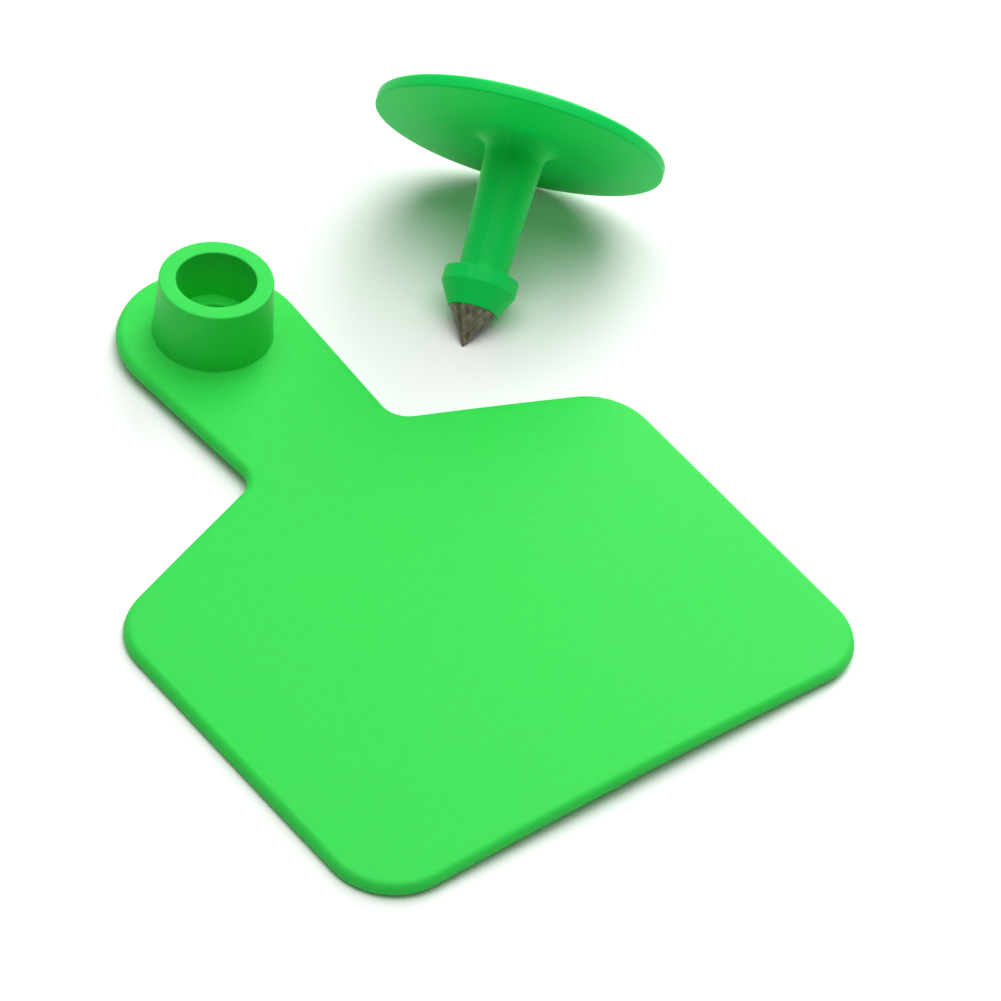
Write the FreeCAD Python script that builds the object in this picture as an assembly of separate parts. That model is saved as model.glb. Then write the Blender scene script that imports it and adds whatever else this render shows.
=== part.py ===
import FreeCAD, Part
import math
import os
from FreeCAD import Placement, Rotation, Vector

# Two-piece livestock ear tag, laid out unfitted on a table. All lengths are in millimetres.
# The panel tag lies flat with its socket collar upwards. The button stud lies beside it on the
# rim of its disc and on its point. +X runs across the panel towards the stud, +Y runs along the
# panel towards its neck, and +Z is up. The origin is under the middle of the whole set.

# Panel: outline, measured to the corners as they would be if they were sharp.
foot_width = 60.0             # straight lower end
shoulder_width = 61.8         # widest place, where the sides end
side_length = 41.7            # from the lower end to the shoulder corners
neck_foot_width = 17.0        # where the sloping shoulders meet the neck
shoulder_rise = 8.1           # from the shoulder corners to the foot of the neck
neck_length = 19.4            # from the foot of the neck to the axis of the socket
neck_end_radius = 9.65        # round end of the neck, about the axis of the socket
foot_corner_radius = 6.8
shoulder_corner_radius = 6.5
neck_corner_radius = 2.6

# Panel: section.
panel_thickness = 1.4
bow_radius = 500.0            # the sheet is bowed upwards a little across its width
top_edge_radius = 0.75
under_edge_chamfer = 0.3

# Socket collar on the neck.
collar_top_radius = 5.76
collar_height = 7.0           # above the upper face of the sheet
collar_draft = 2.6            # degrees
collar_edge_chamfer = 0.2
collar_foot_chamfer = 0.3
socket_depth = 5.75           # from the top of the collar to the floor of the socket
socket_mouth_chamfer = 0.2
hole_lead_in = 0.35           # chamfer round the lower end of the stem hole

# Button stud: disc, stem and barbed head, moulded in one around the metal point.
disc_radius = 15.3
disc_thickness = 1.4
disc_front_edge_chamfer = 0.2
disc_back_edge_chamfer = 0.35
stud_length = 22.3            # from the front face of the disc to the tip of the point
stem_root_radius = 3.15
stem_end_radius = 2.5
stem_fillet_radius = 2.0
barb_radius = 3.9
barb_band_length = 1.55
barb_cone_length = 2.3
barb_edge_chamfer = 0.15
nose_lip = 0.12               # ring of plastic round the base of the point
pin_bore_radius = 1.45        # blind bore for the pin of the applicator

# Metal point, with its shank and collar held in the head of the stud.
point_length = 3.9
point_base_radius = 2.5
point_tip_radius = 0.1
shank_radius = 1.6
shank_length = 1.6
shank_collar_radius = 2.0
shank_collar_length = 0.9

# Fits between the stud and the socket.
stem_hole_clearance = 0.2     # between the end of the stem and the hole in the panel
barb_clearance = 0.13         # between the barbed head and the wall of the socket

# Where the stud lies.
stud_gap_x = 12.35            # from the round end of the neck to the point
stud_gap_y = 11.2             # from the sloping shoulder to the point
stud_heading = -141.5         # degrees from +X, the way that the point faces

origin = Vector(0, 0, 0)
across = Vector(1, 0, 0)
along = Vector(0, 1, 0)
up = Vector(0, 0, 1)


def corner_arc(before, corner, after, radius):
    """Arc of the given radius that rounds a corner: its start, middle and end."""
    to_before = (before - corner).normalize()
    to_after = (after - corner).normalize()
    half_angle = to_before.getAngle(to_after) / 2
    setback = radius / math.tan(half_angle)
    bisector = (to_before + to_after).normalize()
    centre = corner + bisector * (radius / math.sin(half_angle))
    return corner + to_before * setback, centre - bisector * radius, corner + to_after * setback


def rounded_edges(points, radii):
    """Edges of an open path, with each inner corner rounded to its radius, or sharp at 0."""
    edges = []
    last = points[0]
    for before, corner, after, radius in zip(points, points[1:], points[2:], radii):
        if radius > 0:
            start, middle, end = corner_arc(before, corner, after, radius)
            edges.append(Part.LineSegment(last, start).toShape())
            edges.append(Part.Arc(start, middle, end).toShape())
        else:
            end = corner
            edges.append(Part.LineSegment(last, corner).toShape())
        last = end
    edges.append(Part.LineSegment(last, points[-1]).toShape())
    return edges


def turned(profile):
    """Solid of revolution about Z. Each step of the profile is a radius, a height and the
    rounding of that corner, and the first and last steps lie on the axis."""
    points = [Vector(radius, 0, height) for radius, height, rounding in profile]
    edges = rounded_edges(points, [rounding for radius, height, rounding in profile[1:-1]])
    edges.append(Part.LineSegment(points[-1], points[0]).toShape())
    return Part.Face(Part.Wire(edges)).revolve(origin, up, 360)


# ---- Panel tag ----

neck_foot_y = side_length + shoulder_rise
socket_y = neck_foot_y + neck_length
bow_centre_z = -math.sqrt(bow_radius ** 2 - (shoulder_width / 2) ** 2)
underside_z = bow_centre_z + bow_radius
topside_z = underside_z + panel_thickness


def tangent_point(start, centre, radius):
    """Where a line from start touches a circle, on the side that faces +X."""
    to_start = start - centre
    bearing = math.atan2(to_start.y, to_start.x) + math.acos(radius / to_start.Length)
    return centre + Vector(math.cos(bearing), math.sin(bearing), 0) * radius


def panel_column():
    """Upright column with the outline of the panel."""
    foot = Vector(foot_width / 2, 0, 0)
    shoulder = Vector(shoulder_width / 2, side_length, 0)
    neck = Vector(neck_foot_width / 2, neck_foot_y, 0)
    centre = Vector(0, socket_y, 0)
    touch = tangent_point(neck, centre, neck_end_radius)
    crown = centre + along * neck_end_radius
    halfway = centre + (touch - centre + crown - centre).normalize() * neck_end_radius
    corner_radii = [foot_corner_radius, shoulder_corner_radius, neck_corner_radius]
    right = rounded_edges([origin, foot, shoulder, neck, touch], corner_radii)
    right.append(Part.Arc(touch, halfway, crown).toShape())
    left = [edge.mirror(origin, across) for edge in right]
    outline = Part.Face(Part.Wire(Part.__sortEdges__(right + left)))
    return outline.extrude(up * (topside_z + 2 * panel_thickness)).translated(up * -panel_thickness)


def bowed_layer():
    """Wide layer of the sheet's thickness, bowed about an axis along Y."""
    half_angle = math.asin(shoulder_width / bow_radius)

    def on_bow(radius, angle):
        return Vector(radius * math.sin(angle), 0, bow_centre_z + radius * math.cos(angle))

    edges = []
    for radius in (bow_radius, bow_radius + panel_thickness):
        arc = Part.Arc(on_bow(radius, -half_angle), on_bow(radius, 0), on_bow(radius, half_angle))
        edges.append(arc.toShape())
    for angle in (-half_angle, half_angle):
        end = Part.LineSegment(on_bow(bow_radius, angle), on_bow(bow_radius + panel_thickness, angle))
        edges.append(end.toShape())
    section = Part.Wire(Part.__sortEdges__(edges))
    reach = socket_y + 3 * neck_end_radius
    return Part.Face(section).extrude(along * reach).translated(along * -neck_end_radius)


def edges_at(sheet, height):
    """Edges of the bowed sheet that lie wholly at one height above its underside."""
    found = []
    for edge in sheet.Edges:
        radii = [math.hypot(vertex.X, vertex.Z - bow_centre_z) for vertex in edge.Vertexes]
        if max(abs(radius - bow_radius - height) for radius in radii) < 0.001:
            found.append(edge)
    return found


def bowed_blade():
    """The bowed sheet, its upper edge rounded and its under edge chamfered."""
    sheet = panel_column().common(bowed_layer())
    sheet = sheet.makeFillet(top_edge_radius, edges_at(sheet, panel_thickness))
    return sheet.makeChamfer(under_edge_chamfer, edges_at(sheet, 0))


def collar_radius(z):
    """Outside radius of the drafted collar at a height."""
    return collar_top_radius + math.tan(math.radians(collar_draft)) * (topside_z + collar_height - z)


def socket_collar():
    """The drafted collar, down into the sheet, before it is hollowed."""
    top = topside_z + collar_height
    bottom = topside_z - panel_thickness / 2
    shape = turned([(0, bottom, 0),
                    (collar_radius(bottom), bottom, 0),
                    (collar_top_radius, top - collar_edge_chamfer, 0),
                    (collar_top_radius - collar_edge_chamfer, top, 0),
                    (0, top, 0)])
    return shape.translated(along * socket_y)


def collar_foot_edges(shape):
    """Edges where the outside of the collar meets the sheet."""
    found = []
    for edge in shape.Edges:
        gaps = [math.hypot(vertex.X, vertex.Y - socket_y) - collar_radius(vertex.Z) for vertex in edge.Vertexes]
        levels = [vertex.Z - topside_z for vertex in edge.Vertexes]
        if max(abs(value) for value in gaps + levels) < panel_thickness / 5:
            found.append(edge)
    return found


def tag_panel():
    """Sheet, neck and socket collar, moulded in one."""
    panel = bowed_blade().fuse(socket_collar())
    panel = panel.makeChamfer(collar_foot_chamfer, collar_foot_edges(panel))
    top = topside_z + collar_height
    floor = top - socket_depth
    socket_radius = barb_radius + barb_clearance
    hole_radius = stem_end_radius + stem_hole_clearance
    spare = panel_thickness
    hollow = turned([(0, underside_z - spare, 0),
                     (hole_radius + hole_lead_in + spare, underside_z - spare, 0),
                     (hole_radius, underside_z + hole_lead_in, 0),
                     (hole_radius, floor, 0),
                     (socket_radius, floor, 0),
                     (socket_radius, top - socket_mouth_chamfer, 0),
                     (socket_radius + socket_mouth_chamfer + spare, top + spare, 0),
                     (0, top + spare, 0)])
    return panel.cut(hollow.translated(along * socket_y)).removeSplitter()


# ---- Button stud, on its own axis: front face of the disc at 0, tip of the point upwards ----

point_base_z = stud_length - point_length
cone_foot_z = point_base_z - barb_cone_length
shoulder_z = cone_foot_z - barb_band_length
shank_end_z = point_base_z - shank_length - shank_collar_length


def piercing_tip():
    """Turned point on a shank, with a collar at its inner end that keeps it in the head."""
    return turned([(0, shank_end_z, 0),
                   (shank_collar_radius, shank_end_z, 0),
                   (shank_collar_radius, shank_end_z + shank_collar_length, 0),
                   (shank_radius, shank_end_z + shank_collar_length, 0),
                   (shank_radius, point_base_z, 0),
                   (point_base_radius, point_base_z, 0),
                   (point_tip_radius, stud_length, 0),
                   (0, stud_length, 0)])


def button_stud(point):
    """Disc, drafted stem and barbed head, moulded in one around the shank of the point."""
    body = turned([(0, -disc_thickness, 0),
                   (disc_radius - disc_back_edge_chamfer, -disc_thickness, 0),
                   (disc_radius, disc_back_edge_chamfer - disc_thickness, 0),
                   (disc_radius, -disc_front_edge_chamfer, 0),
                   (disc_radius - disc_front_edge_chamfer, 0, 0),
                   (stem_root_radius, 0, stem_fillet_radius),
                   (stem_end_radius, shoulder_z, 0),
                   (barb_radius - barb_edge_chamfer, shoulder_z, 0),
                   (barb_radius, shoulder_z + barb_edge_chamfer, 0),
                   (barb_radius, cone_foot_z, 0),
                   (point_base_radius + nose_lip, point_base_z, 0),
                   (0, point_base_z, 0)])
    pin_bore = Part.makeCylinder(pin_bore_radius, shank_end_z + 2 * disc_thickness, up * -2 * disc_thickness)
    return body.cut(pin_bore).cut(point)


def resting_line():
    """How far the stud's axis leans below level, and how high the middle of its disc's front
    face is, when it lies on the rim of its disc and on whatever comes lowest at its head."""
    disc_rings = [(disc_radius, -disc_front_edge_chamfer), (disc_radius - disc_front_edge_chamfer, 0)]
    head_rings = [(point_tip_radius, stud_length), (point_base_radius + nose_lip, point_base_z),
                  (barb_radius, cone_foot_z)]
    best = None
    for disc_r, disc_z in disc_rings:
        for head_r, head_z in head_rings:
            lean = math.atan2(disc_r - head_r, head_z - disc_z)
            height = disc_r * math.cos(lean) + disc_z * math.sin(lean)
            lowest = max(r * math.cos(lean) + z * math.sin(lean) for r, z in disc_rings + head_rings)
            if best is None or lowest - height < best[0]:
                best = (lowest - height, lean, height)
    return best[1], best[2]


def laid_on_table(shape):
    """Puts a piece of the stud where it lies, leaning on the table beside the panel."""
    lean, height = resting_line()
    turn = Rotation(up, stud_heading) * Rotation(along, 90 + math.degrees(lean))
    slope = shoulder_rise / (shoulder_width / 2 - neck_foot_width / 2)
    tip_x = neck_end_radius + stud_gap_x
    tip_y = side_length + slope * (shoulder_width / 2 - tip_x) + stud_gap_y
    to_tip = turn.multVec(up * stud_length)
    laid = shape.copy()
    laid.Placement = Placement(Vector(tip_x - to_tip.x, tip_y - to_tip.y, height), turn)
    return laid


# ---- The set, centred over the origin ----

point = piercing_tip()
pieces = {
    "tag_panel": tag_panel(),
    "button_stud": laid_on_table(button_stud(point)),
    "piercing_tip": laid_on_table(point),
}
pieces["tag_panel"].translate(up * -pieces["tag_panel"].optimalBoundingBox(False).ZMin)
footprint = Part.makeCompound(list(pieces.values())).optimalBoundingBox(False)
centre = Vector(footprint.Center.x, footprint.Center.y, 0)

os.makedirs("parts", exist_ok=True)
for name, shape in pieces.items():
    shape.translate(-centre)
    shape.exportStep("parts/" + name + ".step")
    print(name, shape.isValid(), len(shape.Solids), round(shape.Volume, 1))
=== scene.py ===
import bpy
import math
from mathutils import Matrix, Vector
from mathutils.geometry import delaunay_2d_cdt


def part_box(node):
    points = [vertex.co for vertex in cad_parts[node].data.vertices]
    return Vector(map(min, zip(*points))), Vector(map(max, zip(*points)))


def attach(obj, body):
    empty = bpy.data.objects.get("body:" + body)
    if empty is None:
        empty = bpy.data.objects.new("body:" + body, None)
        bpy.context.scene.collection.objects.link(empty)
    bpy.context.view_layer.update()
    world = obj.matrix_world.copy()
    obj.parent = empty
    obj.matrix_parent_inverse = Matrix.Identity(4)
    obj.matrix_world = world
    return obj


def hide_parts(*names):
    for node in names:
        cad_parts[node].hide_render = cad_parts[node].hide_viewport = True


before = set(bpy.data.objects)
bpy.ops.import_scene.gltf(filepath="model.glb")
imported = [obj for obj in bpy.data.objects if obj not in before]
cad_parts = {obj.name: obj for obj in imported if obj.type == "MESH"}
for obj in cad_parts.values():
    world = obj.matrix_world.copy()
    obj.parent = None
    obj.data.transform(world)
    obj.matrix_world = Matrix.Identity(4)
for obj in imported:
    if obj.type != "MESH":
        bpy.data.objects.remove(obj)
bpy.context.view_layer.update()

# ---- Panel tag ----
# The panel is one injection moulding in soft green polyurethane (TPU): a thin sheet that bows up a
# little, with a neck that carries the socket collar. The two halves of the mould meet part-way up
# its edge and leave a fine raised seam there. Its faces are spark-eroded matt.

mm = 0.001                    # in metres; the sizes and meshes of the tag are in millimetres
foot_width = 60.0
shoulder_width = 61.8
side_length = 41.7
neck_foot_width = 17.0
shoulder_rise = 8.1
neck_length = 19.4
neck_end_radius = 9.65
foot_corner_radius = 6.8
shoulder_corner_radius = 6.5
neck_corner_radius = 2.6
panel_thickness = 1.4
bow_radius = 500.0
bow_fade_height = 2.0         # the wall of the collar loses the bow of the sheet over this height
top_edge_radius = 0.75
under_edge_radius = 0.45
seam_height = 0.5             # of its middle, above the underside
seam_width = 0.16
seam_reach = 0.07
seam_foot = 0.02              # above the seam, before the edge goes on upwards
collar_top_radius = 5.76
collar_height = 7.0
collar_draft = math.radians(2.6)
collar_rim_radius = 0.16
collar_foot_fillet = 0.15
socket_depth = 5.75
socket_radius = 4.03
socket_mouth_radius = 0.14
socket_floor_fillet = 0.12
hole_radius = 2.7
hole_edge_radius = 0.1
hole_lead_in = 0.35

# How finely the mesh follows the form.
outline_step = 0.8
edge_step = 0.1
seam_steps = 8
sheet_spacing = 1.6
collar_step = 0.35
collar_sides = 144
least_run = 0.001             # a straight run shorter than this gets no point of its own
least_arc_parts = 6

low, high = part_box("tag_panel")
panel_middle_x = (low.x + high.x) / 2 / mm
panel_foot_y = low.y / mm
collar_top_z = high.z / mm
crest_z = collar_top_z - collar_height          # upper face of the sheet along its middle
socket_y = side_length + shoulder_rise + neck_length


def rounded_path(corners, step):
    """Points at most a step apart along straight runs joined by arcs, each with the direction to
    the right of the way along. Each corner is x, y and the radius of its arc, or 0 if sharp."""
    path = []
    last = Vector(corners[0][:2])
    for before, corner, after in zip(corners, corners[1:], corners[2:] + [None]):
        point = Vector(corner[:2])
        radius = corner[2] if after else 0
        if radius:
            to_before = (Vector(before[:2]) - point).normalized()
            to_after = (Vector(after[:2]) - point).normalized()
            half_angle = to_before.angle(to_after) / 2
            arc_start = point + to_before * radius / math.tan(half_angle)
            arc_centre = point + (to_before + to_after).normalized() * radius / math.sin(half_angle)
        else:
            arc_start = point
        run = arc_start - last
        beside = Vector((point.y - before[1], before[0] - point.x)).normalized()
        if run.length > least_run:
            parts = math.ceil(run.length / step)
            path += [(last + run * i / parts, beside) for i in range(parts)]
        last = arc_start
        if radius:
            spoke = arc_start - arc_centre
            side = 1 if spoke.dot(beside) > 0 else -1
            sweep = side * (math.pi - 2 * half_angle)
            parts = max(least_arc_parts, math.ceil(abs(sweep) * radius / step))
            for i in range(parts):
                turned = Matrix.Rotation(sweep * i / parts, 2) @ spoke
                path.append((arc_centre + turned, side * turned.normalized()))
            last = arc_centre + Matrix.Rotation(sweep, 2) @ spoke
    path.append((last, path[-1][1]))
    return path


def sheet_z(x, above):
    """Height at x of the layer of the bowed sheet that lies so far above its underside."""
    radius = bow_radius + above
    across = x - panel_middle_x
    return crest_z - panel_thickness - bow_radius + math.sqrt(radius * radius - across * across)


def ring(verts, points):
    """Adds a closed ring of points and returns their numbers."""
    verts += points
    return list(range(len(verts) - len(points), len(verts)))


def band(faces, first, second):
    """Faces between two rings of the same length."""
    for i in range(len(first)):
        faces.append((first[i - 1], first[i], second[i], second[i - 1]))


def moulded_object(name, verts, faces):
    """Smooth object in metres from a mesh in millimetres."""
    mesh = bpy.data.meshes.new(name)
    mesh.from_pydata([Vector(v) * mm for v in verts], [], faces)
    mesh.polygons.foreach_set("use_smooth", [True] * len(mesh.polygons))
    mesh.update()
    made = bpy.data.objects.new(name, mesh)
    bpy.context.scene.collection.objects.link(made)
    return made


def panel_outline():
    """Outline of the sheet, anticlockwise from the middle of its foot, with outward directions."""
    neck = Vector((neck_foot_width / 2, side_length + shoulder_rise))
    centre = Vector((0, socket_y))
    crown = socket_y + neck_end_radius
    to_neck = neck - centre
    bearing = math.atan2(to_neck.y, to_neck.x) + math.acos(neck_end_radius / to_neck.length)
    touch = centre + Vector((math.cos(bearing), math.sin(bearing))) * neck_end_radius
    neck_side = touch - neck
    neck_top = neck + neck_side * (crown - neck.y) / neck_side.y
    right = [(foot_width / 2, 0, foot_corner_radius),
             (shoulder_width / 2, side_length, shoulder_corner_radius),
             (neck.x, neck.y, neck_corner_radius),
             (neck_top.x, crown, neck_end_radius)]
    left = [(-x, y, radius) for x, y, radius in reversed(right)]
    path = rounded_path([(0, 0, 0)] + right + left + [(0, 0, 0)], outline_step)[:-1]
    place = Vector((panel_middle_x, panel_foot_y))
    return [(point + place, outward) for point, outward in path]


def inside(point, loop):
    """Whether a point lies inside a closed loop."""
    found = False
    for a, b in zip(loop, loop[1:] + loop[:1]):
        if (a.y > point.y) != (b.y > point.y):
            if point.x < a.x + (b.x - a.x) * (point.y - a.y) / (b.y - a.y):
                found = not found
    return found


def sheet_face(verts, faces, outer, hole, above):
    """Fills one face of the sheet between its outer ring and a round hole in it, with triangles
    between points in staggered rows that keep clear of both."""
    outer_loop = [Vector(verts[i][:2]) for i in outer]
    hole_loop = [Vector(verts[i][:2]) for i in hole]
    socket = Vector((panel_middle_x, panel_foot_y + socket_y))
    hole_edge = (hole_loop[0] - socket).length
    clear_of_hole = hole_edge + 0.5 * sheet_spacing
    clear_of_edge = 0.6 * sheet_spacing
    inner = []
    for row in range(math.ceil((socket_y + neck_end_radius) / sheet_spacing)):
        for column in range(math.ceil(shoulder_width / sheet_spacing)):
            x = panel_middle_x + (column + 0.5 * (row % 2)) * sheet_spacing - shoulder_width / 2
            point = Vector((x, panel_foot_y + (row + 0.5) * sheet_spacing))
            if (point - socket).length < clear_of_hole or not inside(point, outer_loop):
                continue
            if min((point - edge).length for edge in outer_loop) > clear_of_edge:
                inner.append(point)
    loops = [[k - 1 if k else len(outer) - 1, k] for k in range(len(outer))]
    loops += [[len(outer) + (k - 1 if k else len(hole) - 1), len(outer) + k] for k in range(len(hole))]
    only_inside = 1
    tolerance = 1e-5
    made = delaunay_2d_cdt(outer_loop + hole_loop + inner, loops, [], only_inside, tolerance)
    number = ring(verts, [(p.x, p.y, sheet_z(p.x, above)) for p in inner])
    known = outer + hole + number
    origin_of = [known[sources[0]] for sources in made[3]]
    for triangle in made[2]:
        corners = [made[0][k] for k in triangle]
        middle = sum(corners, Vector((0, 0))) / 3
        if (middle - socket).length > hole_edge * math.cos(math.pi / len(hole)):
            order = [origin_of[k] for k in triangle]
            faces.append(order if above else order[::-1])


def tag_panel_mesh():
    """The sheet with its rounded and seamed edge, and the collar with its socket and stem hole."""
    verts, faces = [], []
    outline = panel_outline()
    seam_low = seam_height - seam_width / 2
    edge = [(point.x, point.y) for point, beside in rounded_path(
        [(under_edge_radius, 0, 0), (0, 0, under_edge_radius), (0, seam_low, 0)], edge_step)[:-1]]
    for i in range(seam_steps + 1):
        angle = math.pi * i / seam_steps
        edge.append((-seam_reach * math.sin(angle), seam_height - seam_width / 2 * math.cos(angle)))
    edge += [(point.x, point.y) for point, beside in rounded_path(
        [(0, seam_height + seam_width / 2 + seam_foot, 0), (0, panel_thickness, top_edge_radius),
         (top_edge_radius, panel_thickness, 0)], edge_step)]
    rings = []
    for inset, height in edge:
        points = [point - outward * inset for point, outward in outline]
        rings.append(ring(verts, [(p.x, p.y, sheet_z(p.x, height)) for p in points]))
    for lower, upper in zip(rings, rings[1:]):
        band(faces, lower, upper)

    floor_z = collar_height - socket_depth
    foot_radius = collar_top_radius + math.tan(collar_draft) * collar_height
    profile = rounded_path([(foot_radius + 2 * collar_foot_fillet, 0, 0),
                            (foot_radius, 0, collar_foot_fillet),
                            (collar_top_radius, collar_height, collar_rim_radius),
                            (socket_radius, collar_height, socket_mouth_radius),
                            (socket_radius, floor_z, socket_floor_fillet),
                            (hole_radius, floor_z, hole_edge_radius),
                            (hole_radius, hole_lead_in - panel_thickness, hole_edge_radius),
                            (hole_radius + hole_lead_in, -panel_thickness, 0)], collar_step)
    # The run outside the fillet only gives the fillet its direction, and the sheet lies there.
    fillet_end = foot_radius + 1.05 * collar_foot_fillet
    profile = [point for point, beside in profile if point.x < fillet_end]
    centre_y = panel_foot_y + socket_y
    collar_rings = []
    for radius, height in profile:
        points = []
        bow_share = max(0, 1 - max(0, height) / bow_fade_height)
        for i in range(collar_sides):
            angle = math.tau * i / collar_sides
            x = panel_middle_x + radius * math.cos(angle)
            bow = (sheet_z(x, panel_thickness) - crest_z) * bow_share
            points.append((x, centre_y + radius * math.sin(angle), crest_z + height + bow))
        collar_rings.append(ring(verts, points))
    for lower, upper in zip(collar_rings, collar_rings[1:]):
        band(faces, lower, upper)
    sheet_face(verts, faces, rings[-1], collar_rings[0], panel_thickness)
    sheet_face(verts, faces, rings[0], collar_rings[-1], 0)
    return moulded_object("tag_panel_moulding", verts, faces)


def linear(hex_colour):
    """Linear colour from an sRGB hex value."""
    values = [int(hex_colour[i:i + 2], 16) / 255 for i in (1, 3, 5)]
    return [v / 12.92 if v <= 0.04045 else ((v + 0.055) / 1.055) ** 2.4 for v in values] + [1]


def add_node(tree, kind, inputs, **settings):
    """Adds a node with its settings, and gives each named input a value or a link."""
    made = tree.nodes.new(kind)
    for name, value in settings.items():
        setattr(made, name, value)
    for name, value in inputs.items():
        if isinstance(value, bpy.types.NodeSocket):
            tree.links.new(value, made.inputs[name])
        else:
            made.inputs[name].default_value = value
    return made


def every(spacing):
    """Scale of a pattern that repeats about every so many millimetres."""
    return 1 / (spacing * mm)


def new_material(name):
    """An empty material, with no nodes yet."""
    made = bpy.data.materials.new(name)
    made.use_nodes = True
    made.node_tree.nodes.clear()
    return made


def moulded_tpu(name, colour, cloud_colour):
    """Polyurethane elastomer (TPU), injection moulded in a spark-eroded mould. The dye goes right
    through, and the eroded skin scatters nearly all of its gloss, so that it looks matt."""
    made = new_material(name)
    tree = made.node_tree
    place = add_node(tree, "ShaderNodeTexCoord", {}).outputs["Object"]
    # Clouds of dye left by the flow of the melt: very faint, about 15 mm apart.
    clouds = add_node(tree, "ShaderNodeTexNoise", {"Vector": place, "Scale": every(15), "Detail": 2.0})
    dye = add_node(tree, "ShaderNodeMapRange", {"Value": clouds.outputs["Fac"], "From Min": 0.35,
                   "From Max": 0.65})
    clouded = add_node(tree, "ShaderNodeMix", {"Factor": dye.outputs["Result"], "A": linear(colour),
                       "B": linear(cloud_colour)}, data_type="RGBA").outputs["Result"]
    # Mottle of the eroded skin, in patches about 1 mm across.
    mottle = add_node(tree, "ShaderNodeTexNoise", {"Vector": place, "Scale": every(1.1), "Detail": 4.0,
                      "Roughness": 0.65})
    shade = add_node(tree, "ShaderNodeMapRange", {"Value": mottle.outputs["Fac"], "From Min": 0.3,
                     "From Max": 0.7, "To Min": 0.95, "To Max": 1.0})
    mottled = add_node(tree, "ShaderNodeMix", {"Factor": 1.0, "A": clouded, "B": shade.outputs["Result"]},
                       data_type="RGBA", blend_type="MULTIPLY").outputs["Result"]
    # Dust moulded into the skin: dark specks 0.15 mm across, in about one in eight cells of 4 mm.
    speck_size = 0.15
    cell_size = 4.0
    specked_share = 0.12
    cells = add_node(tree, "ShaderNodeTexVoronoi", {"Vector": place, "Scale": every(cell_size)})
    near = add_node(tree, "ShaderNodeMath", {0: cells.outputs["Distance"],
                    1: speck_size / 2 / cell_size}, operation="LESS_THAN")
    chosen = add_node(tree, "ShaderNodeSeparateColor", {"Color": cells.outputs["Color"]})
    few = add_node(tree, "ShaderNodeMath", {0: chosen.outputs["Red"], 1: specked_share},
                   operation="LESS_THAN")
    speck = add_node(tree, "ShaderNodeMath", {0: near.outputs[0], 1: few.outputs[0]},
                     operation="MULTIPLY")
    specked = add_node(tree, "ShaderNodeMix", {"Factor": speck.outputs[0], "A": mottled,
                       "B": linear("#0A6A20")}, data_type="RGBA").outputs["Result"]
    # Eroded grain: 0.05 mm on a real mould, drawn at 0.25 mm so that it shows.
    grain = add_node(tree, "ShaderNodeTexNoise", {"Vector": place, "Scale": every(0.25), "Detail": 3.0})
    bump = add_node(tree, "ShaderNodeBump", {"Strength": 0.35, "Distance": 0.02 * mm,
                    "Height": grain.outputs["Fac"]})
    # Slow unevenness of the faces where the thin wall has shrunk: 9 mm apart, a few hundredths deep.
    sink = add_node(tree, "ShaderNodeTexNoise", {"Vector": place, "Scale": every(9), "Detail": 1.0})
    uneven = add_node(tree, "ShaderNodeBump", {"Strength": 1.0, "Distance": 0.04 * mm,
                      "Height": sink.outputs["Fac"], "Normal": bump.outputs["Normal"]})
    # TPU has an IOR of 1.5. The skin shades most of its own gloss, so the specular level is low.
    gloss = add_node(tree, "ShaderNodeMapRange", {"Value": mottle.outputs["Fac"], "From Min": 0.3,
                     "From Max": 0.7, "To Min": 0.4, "To Max": 0.5})
    shader = add_node(tree, "ShaderNodeBsdfPrincipled", {"Base Color": specked, "IOR": 1.5,
                      "Roughness": gloss.outputs["Result"], "Specular IOR Level": 0.12,
                      "Normal": uneven.outputs["Normal"]})
    add_node(tree, "ShaderNodeOutputMaterial", {"Surface": shader.outputs["BSDF"]})
    return made


panel = tag_panel_mesh()
panel.data.materials.append(moulded_tpu("spark_eroded_green_tpu", "#34DC50", "#38DA54"))
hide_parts("tag_panel")
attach(panel, "root")

# ---- Piercing point ----
# A turned steel cone on a shank with a collar, which the head of the stud is moulded round. Only
# the cone shows. It is dull steel with the fine rings of the turning tool, and lighter and darker
# streaks of painted reflection run down the cone.

stud_length = 22.3
point_length = 3.9
point_base_radius = 2.5
point_tip_radius = 0.1
shank_radius = 1.6
shank_length = 1.6
shank_collar_radius = 2.0
shank_collar_length = 0.9
shank_edge_radius = 0.1
point_edge_radius = 0.06
tip_height = 0.06
tip_rounding = 0.08
core_radius = 0.02            # the profile stops just short of the axis, so that it closes
turning_step = 0.4
turned_sides = 180

# Heights along the stud are measured from the front face of its disc.
point_base_z = stud_length - point_length
shank_end_z = point_base_z - shank_length - shank_collar_length

# The stud rests on the front edge of its disc and on its point. The rim of its nose comes within
# 0.1 mm of the table, and the lean is taken from there.
disc_radius = 15.3
disc_front_edge_radius = 0.2
nose_radius = 2.62
stud_heading = math.radians(-141.5)
lean = math.atan2(disc_radius - nose_radius, point_base_z + disc_front_edge_radius)
stud_turn = Matrix.Rotation(stud_heading, 3, "Z") @ Matrix.Rotation(math.pi / 2 + lean, 3, "Y")
stud_axis = stud_turn @ Vector((0, 0, 1))
# The end ring of the shank reaches furthest along +X, +Y and +Z, and gives the place of the middle
# of the disc's front face.
end_ring_reach = [shank_collar_radius * math.sqrt(1 - part * part) for part in stud_axis]
stud_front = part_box("piercing_tip")[1] / mm - Vector(end_ring_reach) - stud_axis * shank_end_z


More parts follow.
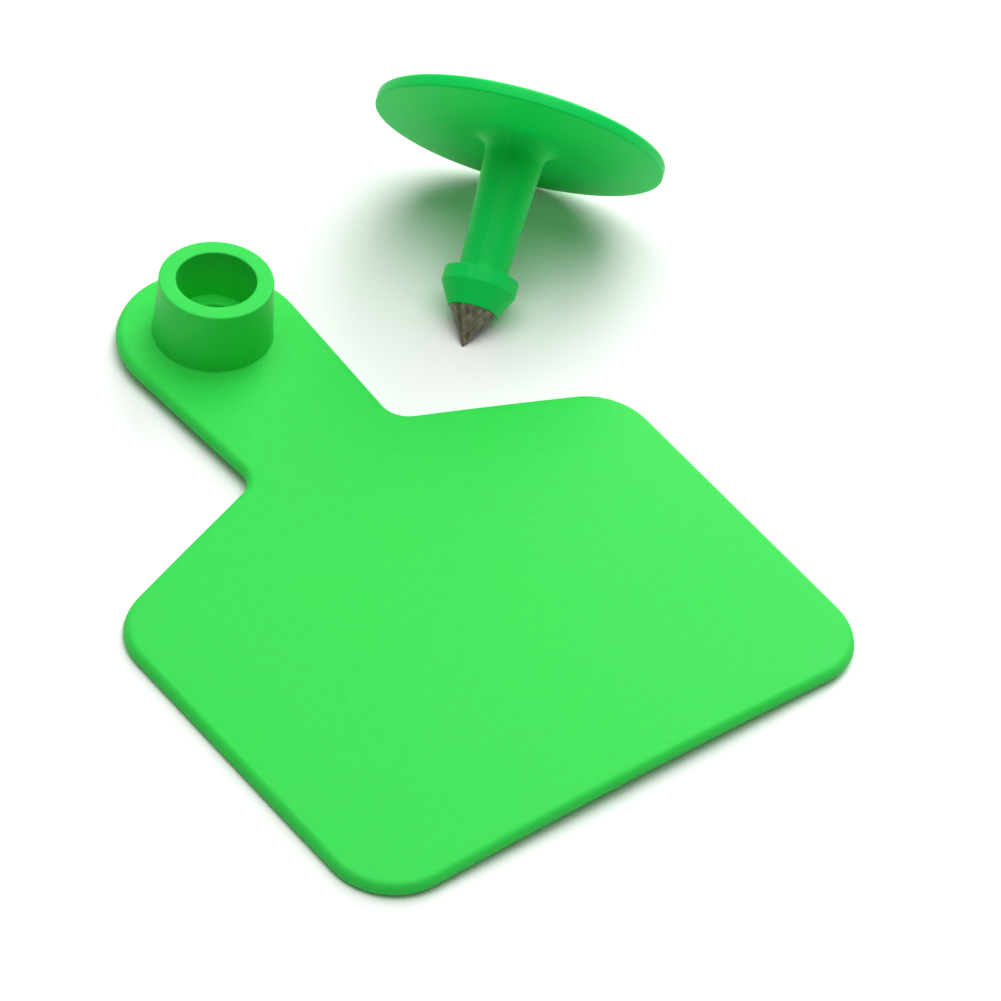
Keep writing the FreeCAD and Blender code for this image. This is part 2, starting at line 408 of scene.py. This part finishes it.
def lathe(profile, wobble=None):
    """Points and faces of a closed profile of radius and height, turned about the stud's axis. A
    wobble adds to the radius by angle, radius and height."""
    verts, faces, rings = [], [], []
    for radius, height in profile:
        points = []
        for i in range(turned_sides):
            angle = math.tau * i / turned_sides
            moved = radius + (wobble(angle, radius, height) if wobble else 0)
            spot = Vector((moved * math.cos(angle), moved * math.sin(angle), height))
            points.append(stud_front + stud_turn @ spot)
        rings.append(ring(verts, points))
    for lower, upper in zip(rings, rings[1:] + rings[:1]):
        band(faces, lower, upper)
    return verts, faces


def closed_profile(corners, step):
    """Rounded closed profile. Its first corner is a sharp one, or a point on a straight side."""
    return [tuple(point) for point, beside in rounded_path(corners + corners[:1], step)[:-1]]


shank_collar_top_z = shank_end_z + shank_collar_length
point_profile = closed_profile([(core_radius, shank_end_z, 0),
                                (shank_collar_radius, shank_end_z, shank_edge_radius),
                                (shank_collar_radius, shank_collar_top_z, shank_edge_radius),
                                (shank_radius, shank_collar_top_z, shank_edge_radius),
                                (shank_radius, point_base_z, 0),
                                (point_base_radius, point_base_z, point_edge_radius),
                                (point_tip_radius, stud_length - tip_height, tip_rounding),
                                (core_radius, stud_length, 0)], turning_step)
verts, faces = lathe(point_profile)
point = moulded_object("piercing_point_turned", verts, faces)

# Plain turned steel: a grey metal, its colour streaked lighter and darker as painted reflection.
turned_steel = new_material("turned_steel")
tree = turned_steel.node_tree
place = add_node(tree, "ShaderNodeTexCoord", {}).outputs["Object"]
# Distance along the point's own axis gives the rings of the tool: 0.12 mm apart on a real point,
# drawn at 0.22 mm so that they show.
along = add_node(tree, "ShaderNodeVectorMath", {0: place, 1: tuple(stud_axis)}, operation="DOT_PRODUCT")
rings_at = add_node(tree, "ShaderNodeMath", {0: along.outputs["Value"], 1: every(0.22) * math.tau},
                    operation="MULTIPLY")
rings_of = add_node(tree, "ShaderNodeMath", {0: rings_at.outputs[0]}, operation="SINE")
# Painted reflection: lighter and darker streaks run down the cone, about 0.5 mm apart and longer than the
# cone.
across = [add_node(tree, "ShaderNodeVectorMath", {0: place, 1: tuple(stud_turn @ Vector(way))},
                   operation="DOT_PRODUCT").outputs["Value"] for way in ((1, 0, 0), (0, 1, 0))]
own_place = add_node(tree, "ShaderNodeCombineXYZ", {"X": across[0], "Y": across[1],
                     "Z": along.outputs["Value"]})
streaked = add_node(tree, "ShaderNodeMapping", {"Vector": own_place.outputs["Vector"],
                    "Scale": (every(0.5), every(0.5), every(6.0))})
reflection_streak_noise = add_node(tree, "ShaderNodeTexNoise", {"Vector": streaked.outputs["Vector"], "Scale": 1.0,
                 "Detail": 4.0})
# The light and the dark brownish grey are painted reflection, mixed by the streaks; the roughness follows
# the same streaks.
reflection_streak_share = add_node(tree, "ShaderNodeMapRange", {"Value": reflection_streak_noise.outputs["Fac"], "From Min": 0.3,
                 "From Max": 0.75})
skin = add_node(tree, "ShaderNodeMix", {"Factor": reflection_streak_share.outputs["Result"], "A": linear("#7C7566"),
                "B": linear("#40392F")}, data_type="RGBA")
dulled = add_node(tree, "ShaderNodeMapRange", {"Value": reflection_streak_noise.outputs["Fac"], "From Min": 0.3,
                  "From Max": 0.7, "To Min": 0.18, "To Max": 0.35})
bump = add_node(tree, "ShaderNodeBump", {"Strength": 0.4, "Distance": 0.02 * mm,
                "Height": rings_of.outputs[0]})
shader = add_node(tree, "ShaderNodeBsdfPrincipled", {"Base Color": skin.outputs["Result"],
                  "Metallic": 1.0, "Roughness": dulled.outputs["Result"],
                  "Normal": bump.outputs["Normal"]})
add_node(tree, "ShaderNodeOutputMaterial", {"Surface": shader.outputs["BSDF"]})
point.data.materials.append(turned_steel)
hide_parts("piercing_tip")
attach(point, "root")

# ---- Button stud ----
# Disc, tapered stem and barbed head in one TPU moulding. The mould opens sideways along the stem
# and leaves two low ridges on it and a dent on each side of the barb. A blind bore takes the pin of
# the applicator from behind.

disc_thickness = 1.4
disc_back_edge_radius = 0.4
stem_root_radius = 3.15
stem_end_radius = 2.5
stem_fillet_radius = 2.0
barb_radius = 3.9
barb_band_length = 1.55
barb_cone_length = 2.3
barb_edge_radius = 0.15
barb_foot_fillet = 0.25
nose_edge_radius = 0.06
pin_bore_radius = 1.45
pin_bore_edge_radius = 0.15
moulding_step = 0.5
cone_foot_z = point_base_z - barb_cone_length
shoulder_z = cone_foot_z - barb_band_length
ridge_reach = 0.09
ridge_width = math.radians(5)
ridge_bearing = math.radians(188)
ridge_start_z = 0.05
ridge_end_z = point_base_z - 0.1
ridge_inner_radius = 2.2      # the bore and the seat of the shank are inside this, and stay plain
ridge_outer_radius = 6.0      # on the disc, where the ridges have died out
ridge_fade = 2.0              # width over which they do


def mould_ridges(angle, radius, height):
    """Ridges where the halves of the mould meet: raised along the stem, sunk over the barb."""
    if not ridge_start_z <= height <= ridge_end_z:
        return 0
    if not ridge_inner_radius <= radius <= ridge_outer_radius:
        return 0
    reach = ridge_reach if height < shoulder_z else -ridge_reach
    away = math.remainder(angle - ridge_bearing, math.pi)
    fade = min(1, (ridge_outer_radius - radius) / ridge_fade)
    return reach * math.exp(-(away / ridge_width) ** 2) * fade


bore_start_z = 2.0            # any height on the straight wall of the bore, where the profile starts
stud_profile = closed_profile([(pin_bore_radius, bore_start_z, 0),
                               (pin_bore_radius, -disc_thickness, pin_bore_edge_radius),
                               (disc_radius, -disc_thickness, disc_back_edge_radius),
                               (disc_radius, 0, disc_front_edge_radius),
                               (stem_root_radius, 0, stem_fillet_radius),
                               (stem_end_radius, shoulder_z, barb_foot_fillet),
                               (barb_radius, shoulder_z, barb_edge_radius),
                               (barb_radius, cone_foot_z, barb_edge_radius),
                               (nose_radius, point_base_z, nose_edge_radius),
                               (shank_radius, point_base_z, 0),
                               (shank_radius, shank_collar_top_z, 0),
                               (shank_collar_radius, shank_collar_top_z, 0),
                               (shank_collar_radius, shank_end_z, 0),
                               (pin_bore_radius, shank_end_z, 0)], moulding_step)
verts, faces = lathe(stud_profile, mould_ridges)
stud = moulded_object("button_stud_moulding", verts, faces)
# The stud is moulded in a batch of its own, a little bluer than that of the panel.
stud.data.materials.append(moulded_tpu("spark_eroded_green_tpu_stud", "#10DF5C", "#14DB62"))
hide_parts("button_stud")
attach(stud, "root")

# ---- Table ----
# A plain sheet of matt white card on a bench, 8 m square, which isn't part of the object. It takes
# the shadows, and a faint glow that only seen rays meet lifts the lit card to full white.

table_reach = 4.0
card_glow = 0.03


def seen_rays(tree):
    """1 for rays that come from the camera, off a gloss or through glass, and 0 for the others."""
    path = add_node(tree, "ShaderNodeLightPath", {})
    seen = add_node(tree, "ShaderNodeMath", {0: path.outputs["Is Camera Ray"],
                    1: path.outputs["Is Glossy Ray"]}, operation="MAXIMUM")
    seen = add_node(tree, "ShaderNodeMath", {0: seen.outputs[0],
                    1: path.outputs["Is Transmission Ray"]}, operation="MAXIMUM")
    return seen.outputs[0]


table_mesh = bpy.data.meshes.new("table")
table_corners = [(x * table_reach, y * table_reach, 0) for x, y in ((-1, -1), (1, -1), (1, 1), (-1, 1))]
table_mesh.from_pydata(table_corners, [], [(0, 1, 2, 3)])
table = bpy.data.objects.new("table", table_mesh)
bpy.context.scene.collection.objects.link(table)
white_card = new_material("white_card")
tree = white_card.node_tree
lift = add_node(tree, "ShaderNodeMath", {0: seen_rays(tree), 1: card_glow}, operation="MULTIPLY")
card = add_node(tree, "ShaderNodeBsdfDiffuse", {"Color": linear("#FDFDFD")})
glow = add_node(tree, "ShaderNodeEmission", {"Strength": lift.outputs[0]})
both = add_node(tree, "ShaderNodeAddShader", {0: card.outputs[0], 1: glow.outputs[0]})
add_node(tree, "ShaderNodeOutputMaterial", {"Surface": both.outputs[0]})
table_mesh.materials.append(white_card)

# ---- Light ----
# A pale room, white where it is seen but faint as a light. A large soft box hangs almost straight
# overhead, and a smaller one stands on the far side of the tag, so the near faces are in shade.

room_light = 0.09
room_white = 1.0

world = bpy.data.worlds.new("pale_room")
bpy.context.scene.world = world
world.use_nodes = True
tree = world.node_tree
tree.nodes.clear()
strength = add_node(tree, "ShaderNodeMapRange", {"Value": seen_rays(tree), "To Min": room_light,
                    "To Max": room_white})
room = add_node(tree, "ShaderNodeBackground", {"Color": linear("#FFFFFF"),
                "Strength": strength.outputs[0]})
add_node(tree, "ShaderNodeOutputWorld", {"Surface": room.outputs[0]})


def soft_box(name, position, size, watts):
    """A square soft box that faces the middle of the set, with its place and size in metres."""
    data = bpy.data.lights.new(name, "AREA")
    data.size = size
    data.energy = watts
    lamp = bpy.data.objects.new(name, data)
    lamp.location = position
    lamp.rotation_euler = (-Vector(position)).to_track_quat("-Z", "Y").to_euler()
    bpy.context.scene.collection.objects.link(lamp)


soft_box("top_box", position=(0.1, 0.08, 0.9), size=1.0, watts=9.2)
soft_box("back_box", position=(0.6, 0.35, 0.5), size=0.5, watts=3.2)

# ---- Camera ----
# A long lens on a full-frame camera, held 0.4 m off and tilted a little. It looks down at about 45
# degrees over the corner of the panel's foot that lies furthest from the stud.

azimuth = math.radians(-43.113)
elevation = math.radians(44.289)
roll = math.radians(8.068)
camera_distance = 414.42
aim_across = 11.780           # from the middle of the panel, towards the stud
aim_along = 36.385            # from the foot of the panel, towards its neck

camera_data = bpy.data.cameras.new("camera")
camera_data.sensor_width = 36.0
camera_data.lens = 151.746
camera_data.clip_end = 20.0
camera = bpy.data.objects.new("camera", camera_data)
aim = Vector((panel_middle_x + aim_across, panel_foot_y + aim_along, 0)) * mm
facing = Vector((-math.sin(azimuth) * math.cos(elevation), math.cos(azimuth) * math.cos(elevation),
                 -math.sin(elevation)))
turn = facing.to_track_quat("-Z", "Y").to_matrix() @ Matrix.Rotation(roll, 3, "Z")
camera.matrix_world = Matrix.LocRotScale(aim - facing * camera_distance * mm, turn, None)
bpy.context.scene.collection.objects.link(camera)
bpy.context.scene.camera = camera
bpy.context.scene.view_settings.view_transform = "Standard"
